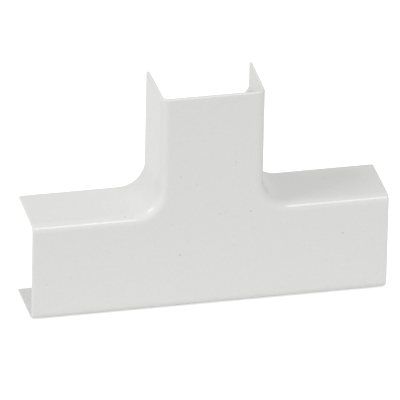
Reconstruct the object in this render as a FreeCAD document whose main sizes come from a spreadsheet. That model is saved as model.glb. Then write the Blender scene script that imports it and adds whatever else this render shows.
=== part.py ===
import FreeCAD, Part
import Sketcher
import os

# Flat tee cover for 25 x 16 mm mini trunking. It is one thin moulding: a face, side walls that
# lean out a little towards the wall of the room, an open back and three open mouths.
# X runs along the straight-through run, Z up along the branch, and Y from the face to the rim.
# The origin is midway along the run and midway through the depth, level with the lowest edge.

doc = FreeCAD.newDocument("trunking_tee")

# Driving sizes, in millimetres and degrees
driving_sizes = [
    ("trunking_width", 25.0, "width of the trunking that the cover clips over"),
    ("trunking_depth", 16.0, "how far that trunking stands off the wall"),
    ("side_clearance", 0.6, "gap between the trunking and each side wall"),
    ("face_clearance", 0.4, "gap between the trunking's lid and the front face"),
    ("wall_thickness", 0.8, "side walls, where they meet the face"),
    ("face_thickness", 0.9, "front face"),
    ("run_arm", 33.9, "from the branch's side to each mouth of the run"),
    ("branch_arm", 33.7, "from the run's side to the branch's mouth"),
    ("outer_draft", 1.1, "lean of the walls' outsides, for release from the mould"),
    ("inner_draft", 1.0, "lean of the walls' insides, for release from the mould"),
    ("edge_radius", 2.2, "round between the face and the side walls, outside"),
    ("inner_edge_radius", 1.3, "round between the face and the side walls, inside"),
    ("corner_radius", 7.0, "sweep between the branch's sides and the run"),
    ("mouth_radius", 0.5, "soft outer edge of each mouth"),
    ("inner_mouth_radius", 0.2, "soft inner edge of each mouth"),
    ("catch_rise", 1.3, "how far a snap catch stands in from its wall"),
    ("catch_crest_length", 5.0, "flat top of a catch, along its wall"),
    ("catch_crest_width", 0.4, "flat top of a catch, across its wall"),
    ("catch_slope", 40.0, "lean of a catch's four flanks"),
    ("catch_inset", 6.8, "from a mouth to the foot of its catches"),
    ("catch_rim_gap", 0.3, "from the rim to the foot of a catch"),
]

sizes = doc.addObject("Spreadsheet::Sheet", "sizes")
for row, (alias, value, meaning) in enumerate(driving_sizes, start=1):
    sizes.set(f"A{row}", alias)
    sizes.set(f"B{row}", str(value))
    sizes.setAlias(f"B{row}", alias)
    sizes.set(f"C{row}", meaning)
doc.recompute()

# Lengths that follow from the driving sizes, as expressions that the features are bound to
half_inside = "(sizes.trunking_width / 2 + sizes.side_clearance)"
half_outside = f"({half_inside} + sizes.wall_thickness)"
depth = "(sizes.trunking_depth + sizes.face_clearance + sizes.face_thickness)"
hollow_depth = f"({depth} - sizes.face_thickness)"
half_outside_rim = f"({half_outside} + {depth} * tan(sizes.outer_draft))"
half_inside_rim = f"({half_inside} + {hollow_depth} * tan(sizes.inner_draft))"
face_y = f"(-{depth} / 2)"
floor_y = f"({face_y} + sizes.face_thickness)"
rim_y = f"({depth} / 2)"
run_mouth_x = f"({half_outside} + sizes.run_arm)"
run_middle_z = half_outside_rim
branch_mouth_z = f"({run_middle_z} + {half_outside} + sizes.branch_arm)"
catch_foot_length = "(sizes.catch_crest_length + 2 * sizes.catch_rise * tan(sizes.catch_slope))"
catch_foot_width = "(sizes.catch_crest_width + 2 * sizes.catch_rise * tan(sizes.catch_slope))"

TOUCH = 1e-4


def measure(expression):
    """An expression's present value as a plain number."""
    return float(sizes.evalExpression(expression))


def draw_outline(name, plane_role, offset, corners):
    """A closed outline of straight lines on one of the body's planes, moved along its normal.

    Each corner is a pair of expressions, for its place along the sketch's two axes. The sketcher
    numbers a line's start 1 and its end 2, and the sketch's origin is point 1 of element -1."""
    sketch = cover.newObject("Sketcher::SketchObject", name)
    plane = [item for item in cover.Origin.OriginFeatures if item.Role == plane_role][0]
    sketch.AttachmentSupport = [(plane, "")]
    sketch.MapMode = "FlatFace"
    sketch.setExpression("AttachmentOffset.Base.z", offset)

    points = [FreeCAD.Vector(measure(x), measure(y), 0) for x, y in corners]
    lines = [
        sketch.addGeometry(Part.LineSegment(point, points[(i + 1) % len(points)]), False)
        for i, point in enumerate(points)
    ]
    for i, line in enumerate(lines):
        after = lines[(i + 1) % len(lines)]
        sketch.addConstraint(Sketcher.Constraint("Coincident", line, 2, after, 1))
    for line, point, (x, y) in zip(lines, points, corners):
        for kind, value, expression in (("DistanceX", point.x, x), ("DistanceY", point.y, y)):
            index = sketch.addConstraint(Sketcher.Constraint(kind, -1, 1, line, 1, value))
            dimension = f"{kind}_{line}"
            sketch.renameConstraint(index, dimension)
            sketch.setExpression(f"Constraints.{dimension}", expression)
    return sketch


def run_section(name, narrow_y, narrow_half, wide_y, wide_half):
    """The run's cross-section: a channel that widens from the face to the rim, about its middle."""
    corners = [
        (narrow_y, f"{run_middle_z} - {narrow_half}"),
        (wide_y, f"{run_middle_z} - {wide_half}"),
        (wide_y, f"{run_middle_z} + {wide_half}"),
        (narrow_y, f"{run_middle_z} + {narrow_half}"),
    ]
    return draw_outline(name, "YZ_Plane", "0", corners)


def branch_section(name, narrow_y, narrow_half, wide_y, wide_half):
    """The branch's cross-section, which is the run's turned upright, drawn level with the run's middle."""
    corners = [
        (f"-{narrow_half}", narrow_y),
        (narrow_half, narrow_y),
        (wide_half, wide_y),
        (f"-{wide_half}", wide_y),
    ]
    return draw_outline(name, "XY_Plane", run_middle_z, corners)


def sweep_section(kind, name, section, length, both_ways=False, backwards=False):
    """Adds (Pad) or removes (Pocket) a section swept straight for a length."""
    before = cover.Tip.Shape.Volume if cover.Tip else 0
    feature = cover.newObject(f"PartDesign::{kind}", name)
    feature.Profile = section
    feature.setExpression("Length", length)
    feature.Midplane = both_ways
    feature.Reversed = backwards
    doc.recompute()
    gained = feature.Shape.Volume - before
    if (gained > 0) != (kind == "Pad"):
        raise ValueError(f"{name} changed the volume by {gained}")
    return feature


def round_edges(name, base, edges, radius):
    """Rounds the named edges of the feature before."""
    feature = cover.newObject("PartDesign::Fillet", name)
    feature.Base = (base, edges)
    feature.setExpression("Radius", radius)
    doc.recompute()
    return feature


def middle(edge):
    return edge.valueAt((edge.FirstParameter + edge.LastParameter) / 2)


def at_mouth(point):
    """Whether a point lies in the plane of one of the three mouths."""
    at_run_mouth = abs(point.x) > measure(run_mouth_x) - TOUCH
    at_branch_mouth = point.z > measure(branch_mouth_z) - TOUCH
    return at_run_mouth or at_branch_mouth


def edges_at_depth(shape, y):
    """Names of the edges that lie whole at one depth, leaving out those at the mouths."""
    return [
        f"Edge{i}"
        for i, edge in enumerate(shape.Edges, start=1)
        if abs(edge.BoundBox.YMin - y) < TOUCH
        and abs(edge.BoundBox.YMax - y) < TOUCH
        and not at_mouth(middle(edge))
    ]


def inner_corner_edges(shape, narrow_half, wide_half):
    """Names of the two edges where the branch's sides meet the run, between two half widths."""
    names = []
    for i, edge in enumerate(shape.Edges, start=1):
        point = middle(edge)
        runs_deep = edge.BoundBox.YLength > measure(hollow_depth) - TOUCH
        at_side = measure(narrow_half) - TOUCH < abs(point.x) < measure(wide_half) + TOUCH
        above_run = point.z > measure(run_middle_z)
        if runs_deep and at_side and above_run and not at_mouth(point):
            names.append(f"Edge{i}")
    return names


def mouth_points(shape):
    """Middles of the edges round the three mouths, without those on the rim."""
    return [
        middle(edge)
        for edge in shape.Edges
        if all(at_mouth(vertex.Point) for vertex in edge.Vertexes)
        and at_mouth(middle(edge))
        and middle(edge).y < measure(rim_y) - TOUCH
    ]


def among(point, points):
    return any(point.isEqual(other, TOUCH) for other in points)


def edges_through(shape, points):
    """Names of the edges whose middles are among some points."""
    return [f"Edge{i}" for i, edge in enumerate(shape.Edges, start=1) if among(middle(edge), points)]


def add_catch(name, plane_role, offset, corners, backwards):
    """A snap catch: a low hipped ridge that stands off a plane just inside its wall."""
    feature = cover.newObject("PartDesign::Pad", name)
    feature.Profile = draw_outline(f"{name}_foot", plane_role, offset, corners)
    feature.setExpression("Length", "sizes.catch_rise")
    feature.setExpression("TaperAngle", "-sizes.catch_slope")
    feature.Reversed = backwards
    doc.recompute()
    return feature


cover = doc.addObject("PartDesign::Body", "tee_cover")
cover.Label = "tee_cover"
doc.recompute()

# Outside: two solid bars that cross, the swept corners between them, and the rounded front edge
outside = (face_y, half_outside, rim_y, half_outside_rim)
run_bar = sweep_section("Pad", "run_bar", run_section("run_outside", *outside), f"2 * {run_mouth_x}", True)
branch_reach = f"{branch_mouth_z} - {run_middle_z}"
branch_bar = sweep_section("Pad", "branch_bar", branch_section("branch_outside", *outside), branch_reach)
corners = inner_corner_edges(branch_bar.Shape, half_outside, half_outside_rim)
swept_bars = round_edges("swept_bars", branch_bar, corners, "sizes.corner_radius")
front_edges = edges_at_depth(swept_bars.Shape, measure(face_y))
block = round_edges("block", swept_bars, front_edges, "sizes.edge_radius")

# Inside: the trunking's space, cut out of each mouth and out of the back
inside = (floor_y, half_inside, rim_y, half_inside_rim)
past_run_mouths = f"2 * ({run_mouth_x} + sizes.wall_thickness)"
run_hollow = sweep_section("Pocket", "run_hollow", run_section("run_inside", *inside), past_run_mouths, True)
past_branch_mouth = f"{branch_reach} + sizes.wall_thickness"
branch_inside = branch_section("branch_inside", *inside)
hollow = sweep_section("Pocket", "branch_hollow", branch_inside, past_branch_mouth, False, True)
corners = inner_corner_edges(hollow.Shape, half_inside, half_inside_rim)
inner_sweep = "sizes.corner_radius + sizes.wall_thickness"
swept_hollow = round_edges("swept_hollow", hollow, corners, inner_sweep)
floor_edges = edges_at_depth(swept_hollow.Shape, measure(floor_y))
shell = round_edges("shell", swept_hollow, floor_edges, "sizes.inner_edge_radius")

# Mouths: the ends of the walls are softened, on the outside more than on the inside
outer_points = mouth_points(block.Shape)
inner_points = [point for point in mouth_points(shell.Shape) if not among(point, outer_points)]
outer_edges = edges_through(shell.Shape, outer_points)
soft_outside = round_edges("soft_outside", shell, outer_edges, "sizes.mouth_radius")
inner_edges = edges_through(soft_outside.Shape, inner_points)
soft_mouths = round_edges("soft_mouths", soft_outside, inner_edges, "sizes.inner_mouth_radius")

# Snap catches: one on each wall of each arm, close to the rim, to hook behind the trunking
near_y = f"{rim_y} - sizes.catch_rim_gap - {catch_foot_width}"
far_y = f"{rim_y} - sizes.catch_rim_gap"
top_z = f"{branch_mouth_z} - sizes.catch_inset"
low_z = f"{top_z} - {catch_foot_length}"
outer_x = f"-{run_mouth_x} + sizes.catch_inset"
inner_x = f"{outer_x} + {catch_foot_length}"
upright = [(near_y, low_z), (far_y, low_z), (far_y, top_z), (near_y, top_z)]
level = [(outer_x, near_y), (inner_x, near_y), (inner_x, far_y), (outer_x, far_y)]
catches = [
    add_catch("branch_catch", "YZ_Plane", half_inside_rim, upright, True),
    add_catch("low_run_catch", "XY_Plane", f"{run_middle_z} - {half_inside_rim}", level, False),
    add_catch("high_run_catch", "XY_Plane", f"{run_middle_z} + {half_inside_rim}", level, True),
]
mirrored_catches = cover.newObject("PartDesign::Mirrored", "mirrored_catches")
mirrored_catches.Originals = catches
middle_plane = [item for item in cover.Origin.OriginFeatures if item.Role == "YZ_Plane"][0]
mirrored_catches.MirrorPlane = (middle_plane, [""])
cover.Tip = mirrored_catches
doc.recompute()

failed = [item.Name for item in doc.Objects if {"Invalid", "Error"} & set(item.State)]
if failed:
    raise ValueError(f"these did not build: {failed}")
if cover.Shape.isNull() or not cover.Shape.isValid() or len(cover.Shape.Solids) != 1:
    raise ValueError("the cover is not one valid solid")

os.makedirs("parts", exist_ok=True)
cover.Shape.exportStep("parts/tee_cover.step")
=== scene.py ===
import math

import bpy
from mathutils import Matrix, Vector

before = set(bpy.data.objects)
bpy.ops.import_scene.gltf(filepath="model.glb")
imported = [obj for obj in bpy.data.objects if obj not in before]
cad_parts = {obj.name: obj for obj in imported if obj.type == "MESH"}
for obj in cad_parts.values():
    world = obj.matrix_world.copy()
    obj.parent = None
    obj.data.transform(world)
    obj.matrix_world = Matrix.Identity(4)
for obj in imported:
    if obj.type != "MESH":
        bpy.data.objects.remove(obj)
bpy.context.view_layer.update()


# Tee cover: the whole fitting, a thin lid with three arms that clips over the joint of two
# cable trunkings. Rigid white PVC, injection moulded in one shot in a polished tool, so it is
# satin on every side. It pushes on by hand and is held by three pairs of low catches inside.
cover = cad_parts["tee_cover"]

satin_pvc = bpy.data.materials.new("satin white PVC")
satin_pvc.use_nodes = True
pvc_nodes = satin_pvc.node_tree.nodes
pvc_links = satin_pvc.node_tree.links
pvc_nodes.clear()

pvc_place = pvc_nodes.new("ShaderNodeTexCoord")
pvc_out = pvc_nodes.new("ShaderNodeOutputMaterial")
pvc = pvc_nodes.new("ShaderNodeBsdfPrincipled")
pvc.inputs["IOR"].default_value = 1.48
pvc_links.new(pvc.outputs["BSDF"], pvc_out.inputs["Surface"])


# A pattern that runs through the plastic, with about as many patches to a metre as it is told.
def pvc_noise(name, patches_per_metre, detail):
    noise = pvc_nodes.new("ShaderNodeTexNoise")
    noise.name = name
    noise.inputs["Scale"].default_value = patches_per_metre
    noise.inputs["Detail"].default_value = detail
    pvc_links.new(pvc_place.outputs["Object"], noise.inputs["Vector"])
    return noise.outputs["Fac"]


# The part of a pattern between two levels, stretched to lie between two new ones.
def pvc_range(pattern, from_low, from_high, to_low, to_high):
    change = pvc_nodes.new("ShaderNodeMapRange")
    change.inputs["From Min"].default_value = from_low
    change.inputs["From Max"].default_value = from_high
    change.inputs["To Min"].default_value = to_low
    change.inputs["To Max"].default_value = to_high
    pvc_links.new(pattern, change.inputs["Value"])
    return change.outputs["Result"]


# Colour: the melt cools unevenly, which leaves a faint mottling under a millimetre wide.
cover_white = (0.845, 0.842, 0.828, 1.0)
cover_shade = (0.828, 0.825, 0.810, 1.0)
mottling_low = 0.35
mottling_high = 0.65

mottling = pvc_noise("mottling of the melt", patches_per_metre=1300.0, detail=3.0)
white_share = pvc_range(mottling, mottling_low, mottling_high, 0.0, 1.0)
white_mix = pvc_nodes.new("ShaderNodeMix")
white_mix.data_type = "RGBA"
white_mix.inputs["A"].default_value = cover_shade
white_mix.inputs["B"].default_value = cover_white
pvc_links.new(white_share, white_mix.inputs["Factor"])

# Specks: burnt grains of resin, about half a millimetre wide, sit in the surface. Each has a
# cell of its own, and over half of the cells are bare. Most specks are faint because they lie
# under the skin; about one in twenty is dark.
speck_brown = (0.42, 0.40, 0.37, 1.0)
speck_cells_per_metre = 480.0
speck_core = 0.05
speck_rim = 0.20
bare_cells = 0.55
bare_and_faint_cells = 0.975
faint_strength = 0.15
dark_strength = 0.5

speck_field = pvc_nodes.new("ShaderNodeTexVoronoi")
speck_field.inputs["Scale"].default_value = speck_cells_per_metre
pvc_links.new(pvc_place.outputs["Object"], speck_field.inputs["Vector"])
speck_size = pvc_range(speck_field.outputs["Distance"], speck_core, speck_rim, 1.0, 0.0)
speck_lot = pvc_nodes.new("ShaderNodeSeparateColor")
pvc_links.new(speck_field.outputs["Color"], speck_lot.inputs["Color"])
speck_depth = pvc_nodes.new("ShaderNodeValToRGB")
speck_stops = speck_depth.color_ramp.elements
speck_stops[0].position = bare_cells
speck_stops[0].color = (0.0, 0.0, 0.0, 1.0)
speck_stops[1].position = 1.0
speck_stops[1].color = (dark_strength, dark_strength, dark_strength, 1.0)
faint_stop = speck_stops.new(bare_and_faint_cells)
faint_stop.color = (faint_strength, faint_strength, faint_strength, 1.0)
pvc_links.new(speck_lot.outputs["Red"], speck_depth.inputs["Fac"])
speck_strength = pvc_nodes.new("ShaderNodeMath")
speck_strength.operation = "MULTIPLY"
pvc_links.new(speck_size, speck_strength.inputs[0])
pvc_links.new(speck_depth.outputs["Color"], speck_strength.inputs[1])
speck_mix = pvc_nodes.new("ShaderNodeMix")
speck_mix.data_type = "RGBA"
speck_mix.inputs["B"].default_value = speck_brown
pvc_links.new(speck_strength.outputs["Value"], speck_mix.inputs["Factor"])
pvc_links.new(white_mix.outputs["Result"], speck_mix.inputs["A"])
pvc_links.new(speck_mix.outputs["Result"], pvc.inputs["Base Color"])

# Gloss: handling dulls the polish in soft patches about a centimetre wide.
polish_low = 0.3
polish_high = 0.7
polished_roughness = 0.16
dulled_roughness = 0.22

polish = pvc_noise("dulled polish", patches_per_metre=90.0, detail=5.0)
roughness = pvc_range(polish, polish_low, polish_high, polished_roughness, dulled_roughness)
pvc_links.new(roughness, pvc.inputs["Roughness"])

# Relief: the skin has a shallow orange peel, and the wall a slow ripple from shrinking.
peel_height = 0.00005
peel_strength = 0.05
ripple_height = 0.0002
ripple_strength = 0.12


def pvc_relief(pattern, height, strength):
    relief = pvc_nodes.new("ShaderNodeBump")
    relief.inputs["Strength"].default_value = strength
    relief.inputs["Distance"].default_value = height
    pvc_links.new(pattern, relief.inputs["Height"])
    return relief


peel = pvc_noise("orange peel", patches_per_metre=2600.0, detail=2.0)
peel_relief = pvc_relief(peel, peel_height, peel_strength)
ripple = pvc_noise("shrink ripple", patches_per_metre=110.0, detail=1.0)
ripple_relief = pvc_relief(ripple, ripple_height, ripple_strength)
pvc_links.new(peel_relief.outputs["Normal"], ripple_relief.inputs["Normal"])
pvc_links.new(ripple_relief.outputs["Normal"], pvc.inputs["Normal"])

for place in cover.material_slots:
    place.material = satin_pvc


# Floor: one square of matt white paper, 42 cm wide, just under the fitting's lowest edge.
# It is so small that it throws more light on the low parts of the front than on the high
# ones. Seen or mirrored it is bleached, and the fitting's shadow still falls on it.
sheet_half_width = 0.21
sheet_front = 0.15
sheet_back = 0.27
sheet_gap = 0.00005
paper_white = (0.90, 0.90, 0.90, 1.0)
bleach_white = (1.0, 1.0, 1.0, 1.0)
bleach_seen = 0.55
bleach_mirrored = 0.18

floor_mesh = bpy.data.meshes.new("paper floor")
floor_mesh.from_pydata(
    [(-sheet_half_width, -sheet_front, 0.0), (sheet_half_width, -sheet_front, 0.0),
     (sheet_half_width, sheet_back, 0.0), (-sheet_half_width, sheet_back, 0.0)],
    [], [(0, 1, 2, 3)])
floor = bpy.data.objects.new("paper_floor", floor_mesh)
floor.location.z = -sheet_gap
bpy.context.scene.collection.objects.link(floor)

paper = bpy.data.materials.new("white paper")
paper.use_nodes = True
paper_nodes = paper.node_tree.nodes
paper_links = paper.node_tree.links
paper_nodes.clear()


# 1 for a ray that is of one kind or the other, and 0 for the rest.
def either_ray(tree, one, other):
    either = tree.nodes.new("ShaderNodeMath")
    either.operation = "ADD"
    either.use_clamp = True
    tree.links.new(one, either.inputs[0])
    tree.links.new(other, either.inputs[1])
    return either.outputs["Value"]


paper_matt = paper_nodes.new("ShaderNodeBsdfDiffuse")
paper_matt.inputs["Color"].default_value = paper_white
paper_glow = paper_nodes.new("ShaderNodeEmission")
paper_glow.inputs["Color"].default_value = bleach_white
paper_ray = paper_nodes.new("ShaderNodeLightPath")
paper_mirrored = either_ray(
    paper.node_tree, paper_ray.outputs["Is Glossy Ray"], paper_ray.outputs["Is Transmission Ray"])
paper_mirrored_lift = paper_nodes.new("ShaderNodeMath")
paper_mirrored_lift.operation = "MULTIPLY"
paper_mirrored_lift.inputs[1].default_value = bleach_mirrored
paper_links.new(paper_mirrored, paper_mirrored_lift.inputs[0])
paper_lift = paper_nodes.new("ShaderNodeMath")
paper_lift.operation = "MULTIPLY_ADD"
paper_lift.inputs[1].default_value = bleach_seen
paper_links.new(paper_ray.outputs["Is Camera Ray"], paper_lift.inputs[0])
paper_links.new(paper_mirrored_lift.outputs["Value"], paper_lift.inputs[2])
paper_links.new(paper_lift.outputs["Value"], paper_glow.inputs["Strength"])
paper_both = paper_nodes.new("ShaderNodeAddShader")
paper_links.new(paper_matt.outputs["BSDF"], paper_both.inputs[0])
paper_links.new(paper_glow.outputs["Emission"], paper_both.inputs[1])
paper_out = paper_nodes.new("ShaderNodeOutputMaterial")
paper_links.new(paper_both.outputs["Shader"], paper_out.inputs["Surface"])
floor_mesh.materials.append(paper)


# Room: a white cyclorama, which gives even light from every side.
# It is plain white where it is seen or mirrored, and dimmer as light on the fitting.
room_white = (1.0, 1.0, 1.0, 1.0)
room_seen_strength = 1.0
room_light_strength = 0.52

room = bpy.data.worlds.new("white room")
room.use_nodes = True
room_nodes = room.node_tree.nodes
room_links = room.node_tree.links
room_nodes.clear()
room_ray = room_nodes.new("ShaderNodeLightPath")
room_seen = either_ray(
    room.node_tree, room_ray.outputs["Is Camera Ray"], room_ray.outputs["Is Glossy Ray"])
room_shown = either_ray(room.node_tree, room_seen, room_ray.outputs["Is Transmission Ray"])
room_level = room_nodes.new("ShaderNodeMapRange")
room_level.inputs["To Min"].default_value = room_light_strength
room_level.inputs["To Max"].default_value = room_seen_strength
room_links.new(room_shown, room_level.inputs["Value"])
room_glow = room_nodes.new("ShaderNodeBackground")
room_glow.inputs["Color"].default_value = room_white
room_links.new(room_level.outputs["Result"], room_glow.inputs["Strength"])
room_out = room_nodes.new("ShaderNodeOutputWorld")
room_links.new(room_glow.outputs["Background"], room_out.inputs["Surface"])
bpy.context.scene.world = room


# Softboxes: one above the front, whose mirror image runs along the top front edges, one high
# on the left, which lights the left walls and glints in the left inner corner, and a wide,
# weak one low in front. All stand two metres off, and their shadows are soft.
softbox_aim = Vector((0.0, 0.0, 0.03))
softbox_reach = 2.0


def hang_softbox(name, towards, side, power):
    glow = bpy.data.lights.new(name, "AREA")
    glow.shape = "SQUARE"
    glow.size = side
    glow.energy = power
    box = bpy.data.objects.new(name, glow)
    direction = Vector(towards).normalized()
    box.location = softbox_aim + direction * softbox_reach
    box.rotation_mode = "QUATERNION"
    box.rotation_quaternion = direction.to_track_quat("Z", "Y")
    box.visible_camera = False
    bpy.context.scene.collection.objects.link(box)


hang_softbox("front softbox", towards=(0.21, -0.68, 0.70), side=0.66, power=6.8)
hang_softbox("left softbox", towards=(-0.74, -0.10, 0.66), side=0.80, power=10.9)
hang_softbox("low softbox", towards=(-0.30, -0.88, 0.37), side=1.50, power=3.1)


# Camera: a long lens over two metres away, high and to the left of the fitting's front,
# and tilted sideways by just over a degree.
view_azimuth = math.radians(13.6368)
view_elevation = math.radians(27.7194)
view_roll = math.radians(1.2645)
view_target = Vector((-0.001176, 0.0, 0.027067))
view_distance = 2.35774

ahead = Vector((math.sin(view_azimuth) * math.cos(view_elevation),
                math.cos(view_azimuth) * math.cos(view_elevation),
                -math.sin(view_elevation)))
level_right = Vector((math.cos(view_azimuth), -math.sin(view_azimuth), 0.0))
level_up = level_right.cross(ahead)
right = level_right * math.cos(view_roll) + level_up * math.sin(view_roll)
up = level_up * math.cos(view_roll) - level_right * math.sin(view_roll)

lens = bpy.data.cameras.new("long lens")
lens.lens = 810.0
lens.sensor_width = 36.0
lens.clip_start = 0.1
lens.clip_end = 20.0
camera = bpy.data.objects.new("camera", lens)
camera.matrix_world = Matrix((
    (right.x, up.x, -ahead.x, 0.0),
    (right.y, up.y, -ahead.y, 0.0),
    (right.z, up.z, -ahead.z, 0.0),
    (0.0, 0.0, 0.0, 1.0)))
camera.location = view_target - ahead * view_distance
bpy.context.scene.collection.objects.link(camera)
bpy.context.scene.camera = camera
bpy.context.scene.view_settings.view_transform = "Standard"
